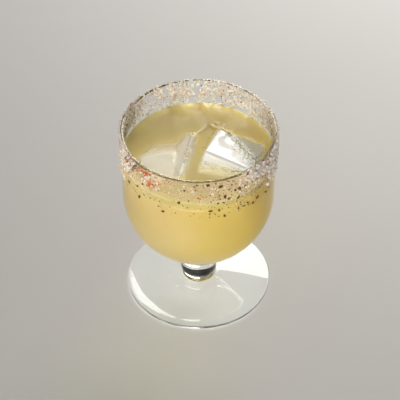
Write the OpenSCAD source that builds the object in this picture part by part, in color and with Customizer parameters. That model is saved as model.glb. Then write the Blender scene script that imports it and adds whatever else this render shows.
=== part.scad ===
// A margarita in a short-stemmed glass: a clear glass with a round bowl, a collar and a
// disc foot, the drink that fills it, and a cube of ice that stands out of the drink.
// Millimetres, +Z up, origin at the middle of the foot's underside.

/* [Bowl] */
// Outside diameter of the bowl
bowl_d = 81.2; // [67:0.1:98]
// Height of the straight wall, from the widest line to the rim
wall_h = 43; // [34:0.5:52]
// Thickness of the glass in the bowl
wall = 1.6; // [1.2:0.1:2.4]

/* [Stem] */
// Height of the bowl's lowest point above the table
bowl_lift = 27.3; // [22:0.1:33]
// Diameter of the collar under the bowl
collar_d = 20; // [16:0.1:25]
// Rounding of the collar's lower edge
collar_edge_r = 1.1; // [0.5:0.1:2]
// How far the collar stands out from the waist under it
collar_ledge = 1.3; // [0.6:0.1:3]
// Height of the straight part of the waist
waist_h = 2; // [1:0.1:5]
// Radius of the fillet between the collar and the bowl
bowl_fillet = 3; // [1:0.1:5]

/* [Foot] */
// Diameter of the foot
foot_d = 79.8; // [66:0.1:96]
// Thickness of the foot at its rounded edge
foot_edge = 1.8; // [1.4:0.1:3]
// Height of the foot's top where it meets the waist
foot_rise = 5.4; // [4:0.1:6]
// Radius of the fillet between the foot and the waist
foot_fillet = 2.6; // [1:0.1:3]
// Diameter of the shallow hollow under the foot
hollow_d = 64; // [40:0.5:64]
// Depth of that hollow at the middle
hollow_h = 2; // [0.5:0.1:2.5]

/* [Drink] */
// Distance from the rim down to the drink's surface
level_drop = 15.9; // [14:0.1:30]
// Clearance between the drink and what it touches
fill_gap = 0.05; // [0.02:0.01:0.2]

/* [Ice] */
// Side of the ice cube
ice_side = 28; // [22:0.5:34]
// Rounding of its edges
ice_edge_r = 1.6; // [0.6:0.1:3]
// Direction of the corner that is nearest the wall, from +X towards +Y
ice_heading = 12.5; // [-180:0.5:180]
// Gap between that corner and the wall
ice_wall_gap = 1.6; // [0.5:0.1:6]
// Depth of that corner below the drink's surface
ice_corner_depth = 4.8; // [3:0.1:12]
// Turn of the cube about X
ice_turn_x = -14.5; // [-45:0.5:45]
// Turn of the cube about Y
ice_turn_y = 12.5; // [-45:0.5:45]
// Turn of the cube about Z
ice_turn_z = -20; // [-90:0.5:90]

/* [Hidden] */
$fn = 96;

bowl_r = bowl_d / 2;
bowl_in_r = bowl_r - wall;
// height of the bowl's widest line, where the round bottom meets the straight wall
bowl_mid = bowl_lift + bowl_r;
rim_z = bowl_mid + wall_h;
// height at which the rounded lip starts
lip_z = rim_z - wall / 2;

collar_r = collar_d / 2;
waist_r = collar_r - collar_ledge;

foot_r = foot_d / 2;
foot_edge_r = foot_edge / 2;
hollow_r = hollow_d / 2;
// radius of the arc that makes the hollow
hollow_arc_r = (hollow_r * hollow_r + hollow_h * hollow_h) / (2 * hollow_h);
// where the foot's rounded edge starts, and the angle at which its top falls towards it
foot_edge_x = foot_r - foot_edge_r;
foot_slope = atan2(foot_rise - foot_edge, foot_edge_x - waist_r);
// centre of the fillet between the foot's top and the waist
foot_fillet_x = waist_r + foot_fillet;
foot_fillet_z = foot_rise - foot_fillet * tan(foot_slope) + foot_fillet / cos(foot_slope);
collar_low = foot_fillet_z + waist_h;

level_z = rim_z - level_drop;
drink_r = bowl_in_r - fill_gap;

// half outline of a round-bottomed vessel of radius r, up to top_z
module vessel_outline(r, top_z) {
    intersection() {
        translate([0, bowl_mid]) circle(r);
        square([2 * r, top_z]);
    }
    translate([0, bowl_mid]) square([r, top_z - bowl_mid]);
}

// rounded lip on the end of the wall
module lip_outline() {
    translate([bowl_r - wall / 2, lip_z]) circle(wall / 2);
}

// collar under the bowl, with its lower edge rounded
module collar_outline() {
    edge_x = collar_r - collar_edge_r;
    edge_z = collar_low + collar_edge_r;
    translate([0, edge_z]) square([collar_r, bowl_mid - edge_z]);
    translate([0, collar_low]) square([edge_x, bowl_mid - collar_low]);
    translate([edge_x, edge_z]) circle(collar_edge_r);
}

// fillet that is tangent to the collar's side and to the bowl's round bottom
module bowl_fillet_outline() {
    reach = bowl_r + bowl_fillet;
    centre_x = collar_r + bowl_fillet;
    centre_z = bowl_mid - sqrt(reach * reach - centre_x * centre_x);
    touch = [0, bowl_mid] + [centre_x, centre_z - bowl_mid] * bowl_r / reach;
    difference() {
        polygon([[0, centre_z], [centre_x, centre_z], touch, [0, bowl_mid]]);
        translate([centre_x, centre_z]) circle(bowl_fillet);
    }
}

// foot: a disc with a rounded edge and a gently rising top
module foot_outline() {
    polygon([[0, 0], [foot_edge_x, 0], [foot_edge_x, foot_edge], [waist_r, foot_rise], [0, foot_rise]]);
    translate([foot_edge_x, foot_edge_r]) circle(foot_edge_r);
}

// waist between the foot and the collar, with the fillet that joins it to the foot
module waist_outline() {
    centre = [foot_fillet_x, foot_fillet_z];
    touch = centre - foot_fillet * [sin(foot_slope), cos(foot_slope)];
    translate([0, foot_edge]) square([waist_r, collar_low + collar_edge_r - foot_edge]);
    difference() {
        polygon([[0, foot_edge], [touch.x, foot_edge], touch, centre, [0, foot_fillet_z]]);
        translate(centre) circle(foot_fillet);
    }
}

// shallow hollow under the foot, which leaves a flat ring to stand on
module hollow_outline() {
    intersection() {
        translate([0, hollow_h - hollow_arc_r]) circle(hollow_arc_r);
        square([hollow_r, hollow_h]);
    }
}

module glass() {
    color("lightcyan", 0.4) rotate_extrude() {
        difference() {
            union() {
                vessel_outline(bowl_r, lip_z);
                collar_outline();
                bowl_fillet_outline();
                foot_outline();
                waist_outline();
            }
            vessel_outline(bowl_in_r, lip_z);
            hollow_outline();
        }
        lip_outline();
    }
}

// square with rounded corners
module rounded_square(side, corner_r) {
    flat = side - 2 * corner_r;
    square([side, flat], center = true);
    square([flat, side], center = true);
    for (x = [-1, 1], y = [-1, 1]) translate([x, y] * flat / 2) circle(corner_r);
}

// cube with its twelve edges rounded, where it lies in the glass, grown by gap all round
module ice_block(gap) {
    side = ice_side + 2 * gap;
    near_wall = bowl_in_r - ice_wall_gap;
    translate([near_wall * cos(ice_heading), near_wall * sin(ice_heading), level_z - ice_corner_depth])
        rotate([ice_turn_x, ice_turn_y, ice_turn_z])
            translate([-ice_side, -ice_side, -ice_side] / 2)
                intersection_for (turn = [[0, 0, 0], [90, 0, 0], [0, 90, 0]])
                    rotate(turn)
                        linear_extrude(side, center = true) rounded_square(side, ice_edge_r + gap);
}

module drink() {
    color("khaki") difference() {
        rotate_extrude() vessel_outline(drink_r, level_z);
        ice_block(fill_gap);
    }
}

module ice_cube() {
    color("white", 0.7) ice_block(0);
}

glass();
drink();
ice_cube();
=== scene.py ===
"""A margarita in a short-stemmed glass: the glass, the cloudy drink, the ice in it, and the band
of salt and chilli stuck to the outside of the wall under the rim. Metres, +Z up, the foot on z = 0.
"""

import math
import random

import bmesh
import bpy
from mathutils import Euler, Matrix, Vector, noise
from mathutils.bvhtree import BVHTree


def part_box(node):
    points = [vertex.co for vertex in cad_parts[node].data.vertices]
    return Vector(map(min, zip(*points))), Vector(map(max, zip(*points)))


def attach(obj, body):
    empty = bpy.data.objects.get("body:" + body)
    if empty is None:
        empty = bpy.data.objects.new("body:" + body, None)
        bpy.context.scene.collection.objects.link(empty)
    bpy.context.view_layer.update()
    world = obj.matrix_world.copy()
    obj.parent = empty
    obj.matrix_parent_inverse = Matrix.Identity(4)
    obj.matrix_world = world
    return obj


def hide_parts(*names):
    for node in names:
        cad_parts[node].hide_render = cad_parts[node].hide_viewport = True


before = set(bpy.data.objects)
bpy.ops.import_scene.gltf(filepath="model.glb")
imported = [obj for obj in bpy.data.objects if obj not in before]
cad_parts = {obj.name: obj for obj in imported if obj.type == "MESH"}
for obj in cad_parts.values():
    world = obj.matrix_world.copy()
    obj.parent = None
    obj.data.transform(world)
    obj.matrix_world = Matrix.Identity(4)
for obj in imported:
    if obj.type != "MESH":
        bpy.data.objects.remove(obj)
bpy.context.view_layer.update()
MM = 0.001


# ---------------------------------------------------------------- the glass
# Clear soda-lime glass, blown as a round bowl with a fire-polished lip. A short collar under the
# bowl is fused to a waist, which flares into a disc foot with a shallow hollow under it.

GLASS_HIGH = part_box("glass")[1]
BOWL_R = GLASS_HIGH.x
RIM_Z = GLASS_HIGH.z
WALL = 1.6 * MM
BOWL_IN_R = BOWL_R - WALL
BOWL_MID_Z = RIM_Z - 43.0 * MM  # widest line, where the round bottom meets the straight wall
COLLAR_R = 10.0 * MM
COLLAR_EDGE_R = 1.1 * MM
BOWL_FILLET = 3.0 * MM
WAIST_R = COLLAR_R - 1.3 * MM
WAIST_H = 2.0 * MM
FOOT_R = 39.9 * MM
FOOT_EDGE = 1.8 * MM
FOOT_RISE = 5.4 * MM
FOOT_FILLET = 2.6 * MM
HOLLOW_R = 32.0 * MM
HOLLOW_H = 2.0 * MM
TURN_STEPS = 160


def start_outline(bm, x, z):
    """First point of a half outline in the XZ plane."""
    return bm.verts.new((x, 0, z))


def line_to(bm, pen, x, z):
    """Straight stretch of a half outline from pen to (x, z)."""
    end = bmesh.ops.extrude_vert_indiv(bm, verts=[pen])["verts"][0]
    end.co = (x, 0, z)
    return end


def arc_to(bm, pen, x, z, degrees, steps):
    """Round stretch of a half outline, from pen about the centre (x, z)."""
    swept = bmesh.ops.spin(bm, geom=[pen], cent=(x, 0, z), axis=(0, 1, 0), dvec=(0, 0, 0),
                           angle=math.radians(degrees), steps=steps, use_merge=False)
    return next(e for e in swept["geom_last"] if isinstance(e, bmesh.types.BMVert))


def turn(bm):
    """Turns the half outline round the Z axis into a closed surface that faces outwards."""
    bmesh.ops.spin(bm, geom=bm.verts[:] + bm.edges[:], cent=(0, 0, 0), axis=(0, 0, 1), dvec=(0, 0, 0),
                   angle=math.tau, steps=TURN_STEPS, use_merge=True)
    bmesh.ops.remove_doubles(bm, verts=bm.verts[:], dist=0.002 * MM)
    bmesh.ops.recalc_face_normals(bm, faces=bm.faces[:])


def make_piece(name, bm, material, smooth=True):
    """Object with the bmesh as its mesh, at the origin."""
    mesh = bpy.data.meshes.new(name)
    bm.to_mesh(mesh)
    bm.free()
    for face in mesh.polygons:
        face.use_smooth = smooth
    piece = bpy.data.objects.new(name, mesh)
    bpy.context.scene.collection.objects.link(piece)
    mesh.materials.append(material)
    return piece


def new_material(name):
    """Material with its node tree, its Principled shader and its output."""
    material = bpy.data.materials.new(name)
    material.use_nodes = True
    nodes = material.node_tree.nodes
    return material, material.node_tree, nodes["Principled BSDF"], nodes["Material Output"]


def object_noise(tree, scale, detail=2.0, roughness=0.5):
    """Noise texture on Object coordinates."""
    place = tree.nodes.new("ShaderNodeTexCoord")
    texture = tree.nodes.new("ShaderNodeTexNoise")
    texture.inputs["Scale"].default_value = scale
    texture.inputs["Detail"].default_value = detail
    texture.inputs["Roughness"].default_value = roughness
    tree.links.new(place.outputs["Object"], texture.inputs["Vector"])
    return texture


def ramp(tree, source, stops):
    """Colour ramp from (position, colour or grey) stops."""
    node = tree.nodes.new("ShaderNodeValToRGB")
    elements = node.color_ramp.elements
    while len(elements) < len(stops):
        elements.new(0.5)
    for element, (position, value) in zip(elements, stops):
        element.position = position
        element.color = (*value, 1) if isinstance(value, tuple) else (value, value, value, 1)
    tree.links.new(source, node.inputs["Fac"])
    return node


def add_bump(tree, shader, height, strength, distance):
    """Bump from a height output."""
    node = tree.nodes.new("ShaderNodeBump")
    node.inputs["Strength"].default_value = strength
    node.inputs["Distance"].default_value = distance
    tree.links.new(height, node.inputs["Height"])
    tree.links.new(node.outputs["Normal"], shader.inputs["Normal"])


def let_lamps_through(tree, shader, output, tint):
    """Light from the lamps passes straight through, tinted, so that what is inside is lit."""
    path = tree.nodes.new("ShaderNodeLightPath")
    clear = tree.nodes.new("ShaderNodeBsdfTransparent")
    clear.inputs["Color"].default_value = (*tint, 1)
    mix = tree.nodes.new("ShaderNodeMixShader")
    tree.links.new(path.outputs["Is Shadow Ray"], mix.inputs["Fac"])
    tree.links.new(shader.outputs["BSDF"], mix.inputs[1])
    tree.links.new(clear.outputs["BSDF"], mix.inputs[2])
    tree.links.new(mix.outputs["Shader"], output.inputs["Surface"])


def clear_glass():
    material, tree, shader, output = new_material("clear_glass")
    shader.inputs["Base Color"].default_value = (0.985, 0.995, 0.99, 1)
    shader.inputs["Transmission Weight"].default_value = 1.0
    shader.inputs["IOR"].default_value = 1.5
    smears = object_noise(tree, 60, 3)
    rough = ramp(tree, smears.outputs["Fac"], ((0.4, 0.0), (0.75, 0.03)))
    tree.links.new(rough.outputs["Color"], shader.inputs["Roughness"])
    waves = object_noise(tree, 35, 1)
    add_bump(tree, shader, waves.outputs["Fac"], 0.06, 0.3 * MM)
    let_lamps_through(tree, shader, output, (0.91, 0.925, 0.92))
    return material


def glass_outline(bm):
    hollow_arc_r = (HOLLOW_R ** 2 + HOLLOW_H ** 2) / (2 * HOLLOW_H)
    hollow_arc = math.degrees(math.asin(HOLLOW_R / hollow_arc_r))
    edge_x = FOOT_R - FOOT_EDGE / 2
    slope = math.atan2(FOOT_RISE - FOOT_EDGE, edge_x - WAIST_R)
    flare_x = WAIST_R + FOOT_FILLET
    flare_z = FOOT_RISE - FOOT_FILLET * math.tan(slope) + FOOT_FILLET / math.cos(slope)
    collar_z = flare_z + WAIST_H
    joint_reach = BOWL_R + BOWL_FILLET
    joint_x = COLLAR_R + BOWL_FILLET
    joint_z = BOWL_MID_Z - math.sqrt(joint_reach ** 2 - joint_x ** 2)
    joint_angle = math.degrees(math.asin(joint_x / joint_reach))
    lip_z = RIM_Z - WALL / 2

    pen = start_outline(bm, 0, HOLLOW_H)
    pen = arc_to(bm, pen, 0, HOLLOW_H - hollow_arc_r, hollow_arc, 12)
    pen = line_to(bm, pen, edge_x, 0)
    pen = arc_to(bm, pen, edge_x, FOOT_EDGE / 2, -180 + math.degrees(slope), 10)
    pen = line_to(bm, pen, flare_x - FOOT_FILLET * math.sin(slope), flare_z - FOOT_FILLET * math.cos(slope))
    pen = arc_to(bm, pen, flare_x, flare_z, 90 - math.degrees(slope), 10)
    pen = line_to(bm, pen, WAIST_R, collar_z)
    pen = line_to(bm, pen, COLLAR_R - COLLAR_EDGE_R, collar_z)
    pen = arc_to(bm, pen, COLLAR_R - COLLAR_EDGE_R, collar_z + COLLAR_EDGE_R, -90, 6)
    pen = line_to(bm, pen, COLLAR_R, joint_z)
    pen = arc_to(bm, pen, joint_x, joint_z, 90 - joint_angle, 8)
    pen = arc_to(bm, pen, 0, BOWL_MID_Z, joint_angle - 90, 40)
    pen = line_to(bm, pen, BOWL_R, (BOWL_MID_Z + lip_z) / 2)
    pen = line_to(bm, pen, BOWL_R, lip_z)
    pen = arc_to(bm, pen, BOWL_R - WALL / 2, lip_z, -180, 12)
    pen = line_to(bm, pen, BOWL_IN_R, (BOWL_MID_Z + lip_z) / 2)
    pen = line_to(bm, pen, BOWL_IN_R, BOWL_MID_Z)
    arc_to(bm, pen, 0, BOWL_MID_Z, 90, 44)


bm = bmesh.new()
glass_outline(bm)
turn(bm)
glass = make_piece("clear_glass", bm, clear_glass())
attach(glass, "root")
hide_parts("glass")


# ------------------------------------------------------------ the ice cube
# A cube of clear ice with melted edges, clouded inside and wet outside. It floats tilted, so that
# its near corner stands out of the drink and its far one lies under. Nothing but the drink holds it.

ICE_VOXEL = 0.6 * MM
ICE_DENT = 0.22 * MM
LEVEL_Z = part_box("drink")[1].z
LAP_Z = LEVEL_Z + 0.3 * MM  # middle of the pitted band
LAP_REACH = 1.7 * MM  # from there to the band's upper and lower end
LAP_DENT = 1.3 * MM
LAP_SCALE = 760
LAP_FLAT = 0.12  # share of the noise that leaves no pit


def blend_colours(tree, share, under, over):
    """Output that goes from under to over as share goes from 0 to 1."""
    mix = tree.nodes.new("ShaderNodeMix")
    mix.data_type = "RGBA"
    tree.links.new(share, mix.inputs["Factor"])
    for socket, value in ((mix.inputs["A"], under), (mix.inputs["B"], over)):
        if isinstance(value, tuple):
            socket.default_value = (*value, 1)
        else:
            tree.links.new(value, socket)
    return mix.outputs["Result"]


def scaled(tree, value, by, plus):
    """Output of a value times by, plus plus."""
    node = tree.nodes.new("ShaderNodeMath")
    node.operation = "MULTIPLY_ADD"
    node.inputs[1].default_value = by
    node.inputs[2].default_value = plus
    tree.links.new(value, node.inputs[0])
    return node.outputs["Value"]


def times(tree, first, second):
    """Output of two values multiplied."""
    node = tree.nodes.new("ShaderNodeMath")
    node.operation = "MULTIPLY"
    tree.links.new(first, node.inputs[0])
    tree.links.new(second, node.inputs[1])
    return node.outputs["Value"]


def object_place(tree):
    """Node that gives X, Y and Z of a point of the object."""
    place = tree.nodes.new("ShaderNodeTexCoord")
    axes = tree.nodes.new("ShaderNodeSeparateXYZ")
    tree.links.new(place.outputs["Object"], axes.inputs["Vector"])
    return axes


def wet_ice(name, clear, frost_colour, edge_frost_and_highlight_colour, waterline):
    """Finish of wet ice: partly clear, clouded, white along its edges partly as frost and partly as a painted
    highlight, with painted shade in pits at the waterline.
    """
    material, tree, shader, output = new_material(name)
    shader.inputs["IOR"].default_value = 1.31
    shader.inputs["Coat Weight"].default_value = 1.0
    shader.inputs["Coat Roughness"].default_value = 0.12
    shader.inputs["Coat IOR"].default_value = 1.4
    frost = object_noise(tree, 220, 5, 0.7)
    cloud = object_noise(tree, 70, 3)
    colour = ramp(tree, cloud.outputs["Fac"], ((0.3, frost_colour), (0.7, (0.97, 0.97, 0.96))))
    form = tree.nodes.new("ShaderNodeNewGeometry")
    # Whiter edges: partly frost, partly a painted highlight along the ridges and corners.
    edge = ramp(tree, form.outputs["Pointiness"], ((0.508, 0.0), (0.535, 1.0)))
    frost_and_highlight_edged = blend_colours(tree, edge.outputs["Color"], colour.outputs["Color"], edge_frost_and_highlight_colour)
    off_line = scaled(tree, object_place(tree).outputs["Z"], 1, -waterline)
    # Painted shade: a dark grey-green is painted into pits along the waterline, for the shade in the melt
    # pits.
    lapped = ramp(tree, scaled(tree, off_line, 100, 0.5), ((0.3, 0.0), (0.44, 1.0), (0.64, 1.0), (0.8, 0.0)))
    pits = object_noise(tree, 420, 1, 0.5)
    pits.inputs["Distortion"].default_value = 1.5
    pitted = ramp(tree, pits.outputs["Fac"], ((0.575, 0.0), (0.61, 1.0), (0.65, 1.0), (0.685, 0.0)))
    painted_pit_shade = times(tree, lapped.outputs["Color"], pitted.outputs["Color"])
    pit_shaded_colour = blend_colours(tree, painted_pit_shade, frost_and_highlight_edged, (0.24, 0.25, 0.18))
    tree.links.new(pit_shaded_colour, shader.inputs["Base Color"])
    share = ramp(tree, cloud.outputs["Fac"], ((0.35, clear), (0.65, clear * 0.7)))
    dry = ramp(tree, scaled(tree, off_line, 1000, 0.5), ((0.0, 0.2), (1.0, 1.0)))
    clear_share = times(tree, share.outputs["Color"], dry.outputs["Color"])
    solid = blend_colours(tree, edge.outputs["Color"], clear_share, (0.1, 0.1, 0.1))
    tree.links.new(solid, shader.inputs["Transmission Weight"])
    rough = ramp(tree, frost.outputs["Fac"], ((0.45, 0.03), (0.7, 0.3)))
    tree.links.new(rough.outputs["Color"], shader.inputs["Roughness"])
    add_bump(tree, shader, frost.outputs["Fac"], 0.06, 0.3 * MM)
    let_lamps_through(tree, shader, output, (0.8, 0.81, 0.8))
    return material


def melt(bm, dent, scale):
    """Moves the surface in and out by soft dents."""
    bm.normal_update()
    moves = [v.normal * dent * noise.noise(v.co * scale) for v in bm.verts]
    for vert, move in zip(bm.verts, moves):
        vert.co += move


def lap(bm):
    """Small pits where the drink laps the ice."""
    bm.normal_update()
    for vert in bm.verts:
        band = 1 - abs(vert.co.z - LAP_Z) / LAP_REACH
        hollow = noise.noise(vert.co * LAP_SCALE) - LAP_FLAT
        if band > 0 and hollow > 0:
            vert.co -= vert.normal * LAP_DENT * math.sqrt(band) * hollow


def remeshed(bm, voxel):
    """bmesh rebuilt with even, rounded faces."""
    mesh = bpy.data.meshes.new("remesh")
    bm.to_mesh(mesh)
    bm.free()
    piece = bpy.data.objects.new("remesh", mesh)
    bpy.context.scene.collection.objects.link(piece)
    remesh = piece.modifiers.new("Remesh", "REMESH")
    remesh.mode = "VOXEL"
    remesh.voxel_size = voxel
    bpy.context.view_layer.update()
    even = piece.evaluated_get(bpy.context.evaluated_depsgraph_get()).to_mesh()
    fresh = bmesh.new()
    fresh.from_mesh(even)
    bpy.data.objects.remove(piece)
    for _ in range(2):
        bmesh.ops.smooth_vert(fresh, verts=fresh.verts[:], factor=0.5, use_axis_x=True, use_axis_y=True,
                              use_axis_z=True)
    return fresh


bm = bmesh.new()
bm.from_mesh(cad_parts["ice_cube"].data)
bmesh.ops.remove_doubles(bm, verts=bm.verts[:], dist=0.01 * MM)
bm = remeshed(bm, ICE_VOXEL)
melt(bm, ICE_DENT * 0.4, 60)
lap(bm)
# The edge colour is partly frost and partly a painted highlight along the melted edges.
ICE_FINISH = wet_ice("wet_ice", 0.18, (0.98, 0.97, 0.94), (0.99, 0.99, 0.98), LEVEL_Z)
ice_cube = make_piece("ice_cube_melting", bm, ICE_FINISH)
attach(ice_cube, "root")
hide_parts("ice_cube")


# ------------------------------------------------------------ the sunk ice
# An uneven lump of ice, two cubes melted together, that floats just under the surface on the other
# side. Only a corner and an edge of it break the surface. It is held by nothing but the drink.

SUNK_FLAT = (  # corners across, back from the front, and above the level, in mm
    (-31.5, -3.5, -1.5), (-13.2, -1.0, -1.2), (-12.6, -21.0, -2.4), (-28.0, -20.5, -3.4),
    (-23.0, 9.5, -7.0), (-11.5, 10.5, -6.0), (-30.0, -7.0, -20.0), (-14.0, -4.0, -25.0),
    (-24.0, -18.0, -20.0), (-13.0, -16.0, -22.0), (-21.0, 7.0, -22.0),
)
SUNK_RIDGE = (
    (-6.8, 15.6, -1.6), (-2.0, 12.5, 0.9), (-9.4, -18.5, 0.2), (-14.5, -1.0, -3.6), (-13.5, -19.5, -3.0),
    (1.0, 10.0, -13.0), (-5.0, -17.0, -14.0), (-12.0, 13.0, -14.0), (-6.0, 8.0, -23.0), (-9.0, -14.0, -22.0),
)


def chunk(bm, corners):
    """Closed, flat-faced chunk through its corners, added to bm."""
    fresh = [bm.verts.new((across * MM, back * MM, LEVEL_Z + up * MM)) for across, back, up in corners]
    bmesh.ops.convex_hull(bm, input=fresh)
    bmesh.ops.delete(bm, geom=[v for v in bm.verts if not v.link_faces], context="VERTS")


def sunk_ice():
    bm = bmesh.new()
    chunk(bm, SUNK_FLAT)
    chunk(bm, SUNK_RIDGE)
    bm = remeshed(bm, ICE_VOXEL)
    melt(bm, ICE_DENT, 140)
    return bm


NO_WATERLINE = -1.0  # far below the ice, which then has no pits
# The whiter edge colour paints highlights on the ridges and corners, with some frost.
SUNK_FINISH = wet_ice("sunk_ice", 0.15, (0.97, 0.87, 0.73), (1.0, 0.98, 0.92), NO_WATERLINE)
sunk = make_piece("ice_sunk", sunk_ice(), SUNK_FINISH)
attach(sunk, "root")


# -------------------------------------------------------------- the drink
# Lime juice, spirit and syrup, cloudy and pale yellow. It wets the wall and the ice, where its edge
# climbs a little, and it is closed round the ice, which shows through where it lies shallow.

DRINK_R = BOWL_IN_R + 0.12 * MM  # just into the wall, so that no air shows between them
MENISCUS_R = 0.15 * MM
ICE_OVERLAP = 0.12 * MM
CLIMB = 1.3 * MM
CLIMB_REACH = 3.2 * MM
CLEAR_DEPTHS = (4.0, 12.0)  # in mm: ice nearer than the first shows fully, beyond the second not at all
PATCH_STEPS = (-0.9, 0.0, 0.9)  # in mm
SLANT = Vector((0, 0.537, -0.843))  # a look from the front, bent by the surface
DOWN = Vector((0, 0, -1))
SURFACE_RINGS = 60
SURFACE_SKIN = 0.05 * MM


def cloudy_drink():
    """Finish of the drink: cloudy, painted deeper yellow to the right as backlight, painted a little darker
    towards the top as shade, and clear where ice lies close under it.
    """
    material, tree, shader, output = new_material("cloudy_drink")
    cloud = object_noise(tree, 30, 3)
    # Painted shade: the top 6 mm, and so the top face, get this slightly darker colour, so that the top looks
    # less lit than the body.
    painted_shade_top_colour = ramp(tree, cloud.outputs["Fac"], ((0.3, (0.66, 0.55, 0.225)), (0.7, (0.71, 0.60, 0.275))))
    deep = ramp(tree, cloud.outputs["Fac"], ((0.3, (0.73, 0.585, 0.24)), (0.7, (0.765, 0.64, 0.32))))
    place = object_place(tree)
    # Painted backlight: towards the right the drink is painted a deeper, more saturated yellow, where the key
    # light shines through it.
    right = ramp(tree, scaled(tree, place.outputs["X"], 12, 0.5), ((0.3, 0.0), (0.95, 1.0)))
    painted_backlight_colour = blend_colours(tree, right.outputs["Color"], deep.outputs["Color"], (0.83, 0.66, 0.13))
    top = tree.nodes.new("ShaderNodeMapRange")
    top.inputs["From Min"].default_value = LEVEL_Z - 6 * MM
    top.inputs["From Max"].default_value = LEVEL_Z
    tree.links.new(place.outputs["Z"], top.inputs["Value"])
    colour = blend_colours(tree, top.outputs["Result"], painted_backlight_colour, painted_shade_top_colour.outputs["Color"])
    near = tree.nodes.new("ShaderNodeAttribute")
    near.attribute_name = "over_ice"
    thinned = blend_colours(tree, near.outputs["Fac"], colour, (0.99, 0.975, 0.89))
    tree.links.new(thinned, shader.inputs["Base Color"])
    shader.inputs["Subsurface Weight"].default_value = 1.0
    shader.inputs["Subsurface Radius"].default_value = (1.0, 0.9, 0.45)
    shader.inputs["Subsurface Scale"].default_value = 12 * MM
    shader.inputs["Roughness"].default_value = 0.2
    shader.inputs["IOR"].default_value = 1.34
    clear = ramp(tree, near.outputs["Fac"], ((0.0, 0.12), (0.85, 0.97)))
    tree.links.new(clear.outputs["Color"], shader.inputs["Transmission Weight"])
    absorb = tree.nodes.new("ShaderNodeVolumeAbsorption")
    absorb.inputs["Color"].default_value = (0.93, 0.90, 0.55, 1)
    absorb.inputs["Density"].default_value = 6
    let_lamps_through(tree, shader, output, (0.99, 0.975, 0.92))
    tree.links.new(absorb.outputs["Volume"], output.inputs["Volume"])
    return material


def ice_cutter(ice):
    """Copy of a piece of ice, a little smaller, so that the drink reaches just into the ice."""
    bm = bmesh.new()
    bm.from_mesh(ice.data)
    bm.normal_update()
    for vert in bm.verts:
        vert.co -= vert.normal * ICE_OVERLAP
    return make_piece("cutter", bm, ICE_FINISH)


def shows(trees, spot, way):
    """How well ice that is met on the given way from a spot shows, from 0 to 1."""
    lengths = [hit[3] for hit in (tree.ray_cast(spot, way) for tree in trees) if hit[0]]
    if not lengths:
        return 0.0
    share = (CLEAR_DEPTHS[1] - min(lengths) / MM) / (CLEAR_DEPTHS[1] - CLEAR_DEPTHS[0])
    share = min(max(share, 0.0), 1.0)
    return share * share * (3 - 2 * share)


def patch_shows(spot, trees):
    """How well ice shows through the small patch of surface round a spot, mostly to a look from the front."""
    patch = []
    for across in PATCH_STEPS:
        for along in PATCH_STEPS:
            start = Vector((spot.x + across * MM, spot.y + along * MM, spot.z + 0.3 * MM))
            patch.append(0.75 * shows(trees, start, SLANT) + 0.25 * shows(trees, start, DOWN))
    return 0.4 * min(patch) + 0.6 * sum(patch) / len(patch)


def near_ice(bm):
    """Raises the surface where it meets the ice, and marks where ice lies close under it."""
    shade = bm.verts.layers.float.new("over_ice")
    trees = [BVHTree.FromPolygons([v.co for v in ice.data.vertices], [p.vertices for p in ice.data.polygons])
             for ice in (ice_cube, sunk)]
    for vert in bm.verts:
        beside = [tree.find_nearest(vert.co) for tree in trees]
        on_surface = vert.co.z > LEVEL_Z - SURFACE_SKIN
        in_pocket = min(hit[3] for hit in beside) < 0.5 * MM
        if on_surface:
            vert[shade] = patch_shows(vert.co, trees)
        elif in_pocket:
            vert[shade] = 1.0
        emerged = [hit[3] for hit in beside if hit[0].z > LEVEL_Z - 0.3 * MM]
        if emerged and on_surface and vert.co.xy.length < DRINK_R - MENISCUS_R:
            vert.co.z += CLIMB * math.exp(-min(emerged) / CLIMB_REACH)


bm = bmesh.new()
pen = start_outline(bm, 0, BOWL_MID_Z - DRINK_R)
pen = arc_to(bm, pen, 0, BOWL_MID_Z, -90, 44)
for share in (0.25, 0.5, 0.75, 1):
    pen = line_to(bm, pen, DRINK_R, BOWL_MID_Z + (LEVEL_Z + MENISCUS_R - BOWL_MID_Z) * share)
pen = arc_to(bm, pen, DRINK_R - MENISCUS_R, LEVEL_Z + MENISCUS_R, 90, 8)
for ring in range(SURFACE_RINGS - 1, -1, -1):
    pen = line_to(bm, pen, (DRINK_R - MENISCUS_R) * ring / SURFACE_RINGS, LEVEL_Z)
turn(bm)
drink = make_piece("cloudy_drink", bm, cloudy_drink())
cutters = [ice_cutter(ice_cube), ice_cutter(sunk)]
for cutter in cutters:
    cut = drink.modifiers.new("ice pocket", "BOOLEAN")
    cut.operation = "DIFFERENCE"
    cut.solver = "EXACT"
    cut.object = cutter
bpy.context.view_layer.update()
mesh = bpy.data.meshes.new_from_object(drink.evaluated_get(bpy.context.evaluated_depsgraph_get()))
drink.modifiers.clear()
drink.data = mesh
for cutter in cutters:
    bpy.data.objects.remove(cutter)
bm = bmesh.new()
bm.from_mesh(mesh)
near_ice(bm)
bm.to_mesh(mesh)
bm.free()
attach(drink, "root")
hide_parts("drink")


# ---------------------------------------------------------------- the salt
# Coarse salt crystals, some stained pink and peach by the chilli among them, stuck by lime juice in
# a band on the outside of the wall under the bare lip. They lie in drifts, in clumps and singly.

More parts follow.
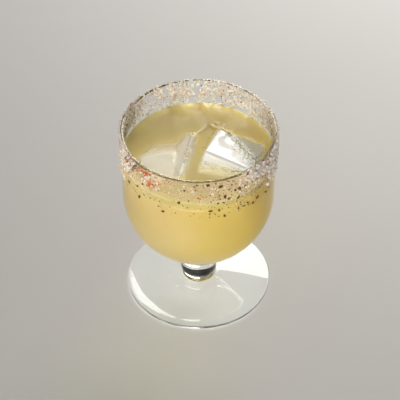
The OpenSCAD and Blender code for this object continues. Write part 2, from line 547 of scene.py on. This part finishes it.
SALT_SIZES = (0.7, 1.6)
SALT_DRIFTS = (  # headings in degrees from the front, depths under the lip in mm, how many
    (62, 100, 1.0, 17, 430), (100, 136, 1.2, 15, 360), (136, 160, 1.5, 14, 80), (160, 206, 1.5, 13, 50),
    (206, 236, 2, 13, 20), (236, 262, 1.2, 14, 170), (262, 286, 1.0, 17, 320), (286, 302, 1.5, 14, 34),
    (302, 340, 1.5, 11, 12), (340, 390, 1.5, 9, 12), (390, 422, 1.5, 12, 26), (60, 102, 15, 25, 70),
    (258, 292, 15, 24, 60), (120, 240, 13, 20, 120),
)
CLUMP_GROWN = 1.2  # crystals in clumps are larger by this
SALT_CLUMPS = (  # heading, depth, spread in mm, two thirds of how many
    (43, 3.2, 1.8, 34), (49, 4.6, 2.0, 38), (54, 6.6, 1.6, 18), (133, 8, 1.1, 9), (138, 5, 1.0, 8),
    (147, 4, 1.4, 14), (147, 11, 0.9, 5), (152, 13, 1.0, 7), (158, 7, 1.3, 12), (161, 3, 1.2, 10),
    (164, 6, 1.0, 8), (167, 9.5, 0.9, 6), (170, 2.2, 1.0, 8), (174, 8.5, 1.6, 18), (178, 12.2, 1.0, 6),
    (186, 2.2, 1.0, 8), (191, 4.5, 1.3, 12), (192, 8, 1.1, 8), (199, 10.5, 1.6, 18), (200, 4.8, 1.1, 8),
    (203, 1.8, 1.0, 7), (195, 14, 0.8, 4), (201, 14, 0.8, 4), (208, 10, 0.9, 5), (210, 6, 0.9, 5),
    (214, 2.4, 1.1, 7), (219, 3.2, 1.0, 6), (228, 2.0, 1.2, 8), (231, 7, 1.0, 5), (240, 9, 1.1, 6),
)


def crystal(rng):
    """One salt crystal, about 1 long: a cube with uneven corners and chipped edges."""
    bm = bmesh.new()
    bmesh.ops.create_cube(bm, size=1)
    for vert in bm.verts:
        vert.co += Vector([rng.uniform(-0.13, 0.13) for _ in range(3)])
    bmesh.ops.bevel(bm, geom=bm.edges[:], offset=0.13, offset_type="OFFSET", segments=1, profile=0.5,
                    affect="EDGES", material=-1)
    return bm


def facing_out(heading):
    """Turn that points a grain's Z axis straight out of the wall at a heading."""
    return Matrix.Rotation(math.radians(heading), 4, "Z") @ Matrix.Rotation(math.pi / 2, 4, "X")


def stick(bm, grain, heading, depth, lift, turn, size):
    """Adds a copy of grain on the outside of the wall, its middle lift out from the glass."""
    angle = math.radians(heading)
    reach = BOWL_R + lift
    place = Vector((reach * math.sin(angle), -reach * math.cos(angle), RIM_Z - depth))
    copy = grain.copy()
    copy.transform(Matrix.Translation(place) @ turn @ Matrix.Diagonal((*size, 1)))
    copy.to_mesh(GRAIN_MESH)
    copy.free()
    bm.from_mesh(GRAIN_MESH)


def any_turn(rng):
    """Turn of a grain that lies any way up."""
    return Euler([rng.uniform(0, math.tau) for _ in range(3)]).to_matrix().to_4x4()


def grain_colours(name, scale, stops, roughness, glow=0.0):
    """Finish of loose grains, whose colour changes from one to the next."""
    material, tree, shader, _ = new_material(name)
    place = tree.nodes.new("ShaderNodeTexCoord")
    cells = tree.nodes.new("ShaderNodeTexVoronoi")
    cells.inputs["Scale"].default_value = scale
    tree.links.new(place.outputs["Object"], cells.inputs["Vector"])
    split = tree.nodes.new("ShaderNodeSeparateColor")
    tree.links.new(cells.outputs["Color"], split.inputs["Color"])
    colour = ramp(tree, split.outputs["Red"], stops)
    tree.links.new(colour.outputs["Color"], shader.inputs["Base Color"])
    shader.inputs["Subsurface Weight"].default_value = glow
    shader.inputs["Subsurface Radius"].default_value = (1.0, 1.0, 1.0)
    shader.inputs["Subsurface Scale"].default_value = 1.0 * MM
    grit = object_noise(tree, scale * 3, 3)
    rough = ramp(tree, grit.outputs["Fac"], ((0.3, roughness), (0.7, roughness + 0.25)))
    tree.links.new(rough.outputs["Color"], shader.inputs["Roughness"])
    add_bump(tree, shader, grit.outputs["Fac"], 0.3, 0.05 * MM)
    return material


GRAIN_MESH = bpy.data.meshes.new("grain")
rng = random.Random(11)
crystals = [crystal(rng) for _ in range(8)]


def add_crystal(bm, rng, heading, depth, lift, grown=1.0):
    """Sticks a salt crystal at a heading and depth, its middle lift of its size out from the glass."""
    size = rng.uniform(*SALT_SIZES) * MM * grown
    sides = (size, size * rng.uniform(0.7, 1.0), size * rng.uniform(0.6, 1.0))
    stick(bm, rng.choice(crystals), heading, max(depth, 0.9) * MM, size * lift, any_turn(rng), sides)


bm = bmesh.new()
for low, high, shallow, deep, count in SALT_DRIFTS:
    for _ in range(count):
        depth = shallow + (deep - shallow) * rng.random() ** 1.25
        add_crystal(bm, rng, rng.uniform(low, high), depth, 0.32)
for heading, depth, spread, count in SALT_CLUMPS:
    for _ in range(count * 3 // 2):
        side, down = rng.gauss(0, spread), rng.gauss(0, spread)
        middle = math.exp(-(side ** 2 + down ** 2) / spread ** 2)
        turned = heading + math.degrees(side * MM / BOWL_R)
        add_crystal(bm, rng, turned, depth + down, 0.32 + 0.7 * middle * rng.random(), CLUMP_GROWN)
SALT_COLOURS = ((0.0, (0.99, 0.96, 0.90)), (0.45, (0.98, 0.92, 0.80)), (0.62, (0.93, 0.74, 0.62)),
                (0.78, (0.95, 0.84, 0.60)), (0.9, (0.80, 0.46, 0.32)), (1.0, (0.97, 0.95, 0.91)))
SALT_FINISH = grain_colours("rock_salt", 1000, SALT_COLOURS, 0.3, glow=0.5)
salt = make_piece("salt_crystals", bm, SALT_FINISH, smooth=False)
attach(salt, "root")


# ---------------------------------------------------------- the fine salt
# Fine salt rubbed with ground chilli, pale pink to orange. It clings as dust between the crystals,
# thickest at the front, where few crystals stick.

DUST_SIZES = (0.18, 0.42)
DUST_DRIFTS = (  # as for the crystals
    (282, 300, 1.0, 20, 420), (300, 322, 1.0, 16, 900), (322, 342, 1.0, 12, 600), (342, 360, 1.5, 14, 600),
    (0, 32, 1.0, 16, 1700), (32, 64, 1.0, 15, 1200), (20, 60, 13, 25, 240), (290, 350, 12, 25, 200),
    (64, 136, 1.0, 19, 500), (136, 206, 1.5, 16, 260), (206, 236, 1.5, 14, 90), (236, 282, 1.0, 19, 430),
)


def speck(rng):
    """One grain of dust, about 1 long."""
    bm = bmesh.new()
    bmesh.ops.create_icosphere(bm, subdivisions=1, radius=0.5)
    for vert in bm.verts:
        vert.co *= rng.uniform(0.75, 1.15)
    return bm


rng = random.Random(23)
specks = [speck(rng) for _ in range(5)]
bm = bmesh.new()
for low, high, shallow, deep, count in DUST_DRIFTS:
    for _ in range(count):
        depth = shallow + (deep - shallow) * rng.random() ** 1.3
        size = rng.uniform(*DUST_SIZES) * MM
        sides = (size, size * rng.uniform(0.7, 1.0), size * rng.uniform(0.7, 1.0))
        stick(bm, rng.choice(specks), rng.uniform(low, high), depth * MM, size * 0.35, any_turn(rng), sides)
DUST_COLOURS = ((0.0, (0.96, 0.82, 0.70)), (0.35, (0.95, 0.68, 0.52)), (0.6, (0.93, 0.55, 0.36)),
                (0.8, (0.95, 0.82, 0.68)), (1.0, (0.78, 0.32, 0.16)))
DUST_FINISH = grain_colours("chilli_salt", 2600, DUST_COLOURS, 0.4)
dust = make_piece("chilli_salt_dust", bm, DUST_FINISH, smooth=False)
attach(dust, "root")


# ------------------------------------------------------- the chilli flakes
# Torn bits of dried red chilli skin, thin and slightly curled, from deep red to orange. They stick
# flat to the wet wall, in a few close groups at the front left and one by one elsewhere.

CHILLI_SIZES = (0.5, 1.25)
CHILLI_GROUPS = (  # heading, depth, spread across and down in mm, how many
    (-40, 2.6, 1.7, 1.0, 56), (-45, 3.6, 1.2, 0.8, 12), (-37.5, 8.8, 1.3, 1.5, 64), (-33, 6.8, 2.4, 1.6, 18),
    (-30, 5.8, 0.5, 0.4, 4), (-28, 3.5, 3.0, 1.5, 6), (-60, 6, 4.0, 3.0, 12), (-75, 6, 6.0, 4.0, 28),
    (-94, 8, 7.0, 5.0, 44), (4, 7, 4.0, 3.5, 6), (3, 10.4, 0.9, 0.6, 4), (22, 8, 6.0, 4.0, 6),
    (47, 4.5, 4.0, 2.5, 7), (90, 8, 8.0, 5.0, 22), (122, 6, 10.0, 4.5, 34), (155, 5, 5.0, 3.0, 16),
    (165, 6, 2.0, 2.0, 8), (193, 4.5, 2.0, 2.0, 9), (214, 2.5, 2.5, 1.0, 8), (245, 6, 8.0, 4.0, 26),
)


def torn_flake(rng, corners):
    """One flake, about 1 across and thin: an uneven disc with a little curl."""
    bm = bmesh.new()
    bmesh.ops.create_circle(bm, cap_ends=True, segments=corners, radius=0.5)
    for vert in bm.verts:
        vert.co *= rng.uniform(0.6, 1.25)
        vert.co.z = 0.25 * vert.co.x ** 2
    lifted = bmesh.ops.extrude_face_region(bm, geom=bm.faces[:])["geom"]
    bmesh.ops.translate(bm, verts=[v for v in lifted if isinstance(v, bmesh.types.BMVert)], vec=(0, 0, 0.16))
    bmesh.ops.recalc_face_normals(bm, faces=bm.faces[:])
    return bm


def add_flake(bm, rng, flake, heading, depth, size, slant):
    """Sticks a flake almost flat at a heading and depth, tilted by about slant."""
    tilt = Euler((rng.gauss(0, slant), rng.gauss(0, slant), 0)).to_matrix().to_4x4()
    spin = Matrix.Rotation(rng.uniform(0, math.tau), 4, "Z")
    sides = (size, size * rng.uniform(0.55, 0.95), size)
    lift = size * 0.4 * slant
    stick(bm, flake, heading, max(depth, 0.9) * MM, lift, facing_out(heading) @ tilt @ spin, sides)


rng = random.Random(37)
flakes = [torn_flake(rng, 7) for _ in range(7)]
bm = bmesh.new()
for heading, depth, across, down, count in CHILLI_GROUPS:
    for _ in range(count):
        turned = heading + math.degrees(rng.gauss(0, across) * MM / BOWL_R)
        size = rng.uniform(*CHILLI_SIZES) * MM
        add_flake(bm, rng, rng.choice(flakes), turned, depth + rng.gauss(0, down), size, 0.35)
CHILLI_COLOURS = ((0.0, (0.36, 0.04, 0.015)), (0.35, (0.58, 0.09, 0.025)), (0.7, (0.80, 0.26, 0.07)),
                  (1.0, (0.90, 0.46, 0.18)))
CHILLI_FINISH = grain_colours("dried_chilli", 900, CHILLI_COLOURS, 0.35)
chilli = make_piece("chilli_flakes", bm, CHILLI_FINISH, smooth=False)
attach(chilli, "root")


# --------------------------------------------------------- the dark flakes
# Flakes of smoked dark chilli, brown to nearly black. The large ones lie well apart on the right of
# the front, some far below the salt, and fine ones are strewn between them.

DARK_GROWN = 1.2
DARK_SIZES = (0.4, 0.95)
DARK_FLAKES = (  # heading, depth in mm, and length in mm before it is grown
    (6.5, 2.0, 1.9), (15.5, 4.0, 2.2), (12, 1.4, 1.2), (24, 5, 1.2), (21.5, 2, 0.9), (30, 9, 1.9),
    (27, 9, 1.2), (35, 9, 1.2), (19, 12, 1.8), (22, 14, 1.5), (15, 10.5, 0.9), (31, 12.5, 1.0),
    (36.5, 13.7, 1.0), (29.5, 15, 1.8), (14, 15.5, 1.2), (18.5, 16, 1.1), (9, 14, 0.9), (9, 20, 2.1),
    (15, 20.5, 1.3), (19, 25, 1.9), (22, 20, 0.8), (8, 22.5, 1.0), (32, 21, 1.0), (30, 23, 1.1),
    (34, 23, 1.0), (38, 22, 1.4), (47.5, 22.5, 1.9), (43, 24.5, 1.3), (58, 24.5, 1.4), (49.5, 16.5, 1.1),
    (37, 1.4, 2.0), (63, 1.8, 2.2), (46.5, 9, 1.1), (42, 9, 0.8), (67, 3, 1.0), (-61, 13, 1.2),
    (-61, 19, 1.8), (-50, 16, 1.3), (-44, 11.5, 1.3), (-43, 19, 1.1), (-48, 22.5, 1.6), (-37, 18.5, 1.1),
    (-29, 18, 0.8), (-30, 21.5, 1.2), (-26.5, 24, 1.7), (-14, 15, 1.5), (-10, 6.3, 1.2), (-7, 13, 1.1),
    (-3, 3, 1.0), (-1, 2, 1.1), (-2, 5.5, 1.0), (-23, 1.4, 1.0), (-8, 18, 0.9), (-47, 2, 1.2),
    (-65, 5, 1.6), (-21, 19.5, 0.7),
)
DARK_STREWN = (  # from and to heading, from and to depth, how many
    (-70, 0, 2, 24, 50), (0, 66, 1.5, 25, 160), (66, 130, 1.5, 20, 60), (130, 230, 1.5, 16, 50),
    (230, 290, 1.5, 20, 50),
)

rng = random.Random(41)
flakes = [torn_flake(rng, 6) for _ in range(7)]
bm = bmesh.new()
for heading, depth, length in DARK_FLAKES:
    add_flake(bm, rng, rng.choice(flakes), heading, depth, length * DARK_GROWN * MM, 0.2)
for low, high, shallow, deep, count in DARK_STREWN:
    for _ in range(count):
        size = rng.uniform(*DARK_SIZES) * MM
        add_flake(bm, rng, rng.choice(flakes), rng.uniform(low, high), rng.uniform(shallow, deep), size, 0.3)
DARK_COLOURS = ((0.0, (0.06, 0.03, 0.012)), (0.6, (0.14, 0.06, 0.02)), (1.0, (0.30, 0.12, 0.045)))
DARK_FINISH = grain_colours("smoked_chilli", 700, DARK_COLOURS, 0.65)
dark = make_piece("dark_chilli_flakes", bm, DARK_FINISH, smooth=False)
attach(dark, "root")


# --------------------------------------------------------------- the seeds
# A few whole chilli seeds, flat, pale yellow and slightly waxy, stuck flat among the salt.

SEEDS = (  # heading, depth and length in mm
    (-14, 6.5, 1.7), (-25, 10.5, 1.6), (-11, 10, 1.4), (-12, 18, 1.3), (28, 19.5, 1.5), (33, 17.5, 1.3),
    (219, 3.2, 1.5), (141, 6, 1.5), (176, 7, 1.4), (100, 9, 1.5), (256, 7, 1.5), (-52, 8, 1.4),
)


def seed():
    """One seed, about 1 long: a flat, dented drop."""
    bm = bmesh.new()
    bmesh.ops.create_icosphere(bm, subdivisions=2, radius=0.5)
    for vert in bm.verts:
        vert.co.z *= 0.35
        vert.co.y *= 0.85 - 0.35 * vert.co.x
    return bm


rng = random.Random(53)
bm = bmesh.new()
for heading, depth, length in SEEDS:
    add_flake(bm, rng, seed(), heading, depth, length * MM, 0.25)
SEED_COLOURS = ((0.0, (0.85, 0.62, 0.22)), (1.0, (0.93, 0.78, 0.42)))
seeds = make_piece("chilli_seeds", bm, grain_colours("chilli_seed", 600, SEED_COLOURS, 0.3))
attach(seeds, "root")


# -------------------------------------------------------------- the studio
# A plain pale floor, a soft box behind and to the right, and a soft fill from the front left.

LAMP_COLOUR = (1, 0.98, 0.95)
SKY_COLOUR = (0.84, 0.82, 0.80, 1)
SKY_STRENGTH = 0.27
CAMERA_SIDE = 0.75 * MM
CAMERA_TILT = math.radians(43.87)
CAMERA_AWAY = 841.1 * MM
CAMERA_AIM_Z = 59.64 * MM
CAMERA_SENSOR = 36
CAMERA_LENS = 140.57


def pale_floor():
    material, _, shader, _ = new_material("pale_floor")
    shader.inputs["Base Color"].default_value = (0.56, 0.55, 0.535, 1)
    shader.inputs["Roughness"].default_value = 0.6
    return material


def counted_once(tree, strength):
    """Strength of a light that matt faces don't see through clear pieces, as those let it through already."""
    way = tree.nodes.new("ShaderNodeLightPath")
    matt = tree.nodes.new("ShaderNodeMath")
    matt.operation = "MINIMUM"
    matt.inputs[1].default_value = 1
    tree.links.new(way.outputs["Diffuse Depth"], matt.inputs[0])
    through = times(tree, matt.outputs["Value"], way.outputs["Is Transmission Ray"])
    return scaled(tree, through, -strength, strength)


def soft_light(name, place, aim, size, watts):
    lamp = bpy.data.lights.new(name, "AREA")
    lamp.shape = "RECTANGLE"
    lamp.size, lamp.size_y = size
    lamp.energy = watts
    lamp.color = LAMP_COLOUR
    light = bpy.data.objects.new(name, lamp)
    bpy.context.scene.collection.objects.link(light)
    light.location = place
    light.rotation_euler = (Vector(aim) - Vector(place)).to_track_quat("-Z", "Y").to_euler()
    lamp.use_nodes = True
    glow = lamp.node_tree.nodes["Emission"]
    lamp.node_tree.links.new(counted_once(lamp.node_tree, 1.0), glow.inputs["Strength"])


bm = bmesh.new()
bmesh.ops.create_grid(bm, x_segments=1, y_segments=1, size=3)
floor = make_piece("floor", bm, pale_floor(), smooth=False)

world = bpy.data.worlds.new("studio")
bpy.context.scene.world = world
world.use_nodes = True
sky = world.node_tree.nodes["Background"]
sky.inputs["Color"].default_value = SKY_COLOUR
world.node_tree.links.new(counted_once(world.node_tree, SKY_STRENGTH), sky.inputs["Strength"])

soft_light("key", (0.31, 0.82, 0.49), (0.01, 0, 0.1), (0.72, 0.5), 9.3)
soft_light("fill", (-0.31, -1.11, 0.34), (0, 0, 0.06), (0.9, 0.6), 8.0)

lens = bpy.data.cameras.new("camera")
lens.sensor_width = CAMERA_SENSOR
lens.lens = CAMERA_LENS
lens.clip_start = 0.01
camera = bpy.data.objects.new("camera", lens)
bpy.context.scene.collection.objects.link(camera)
aim = Vector((CAMERA_SIDE, 0, CAMERA_AIM_Z))
camera.location = aim + CAMERA_AWAY * Vector((0, -math.cos(CAMERA_TILT), math.sin(CAMERA_TILT)))
camera.rotation_euler = (math.pi / 2 - CAMERA_TILT, 0, 0)
bpy.context.scene.camera = camera
bpy.context.scene.view_settings.view_transform = "Standard"
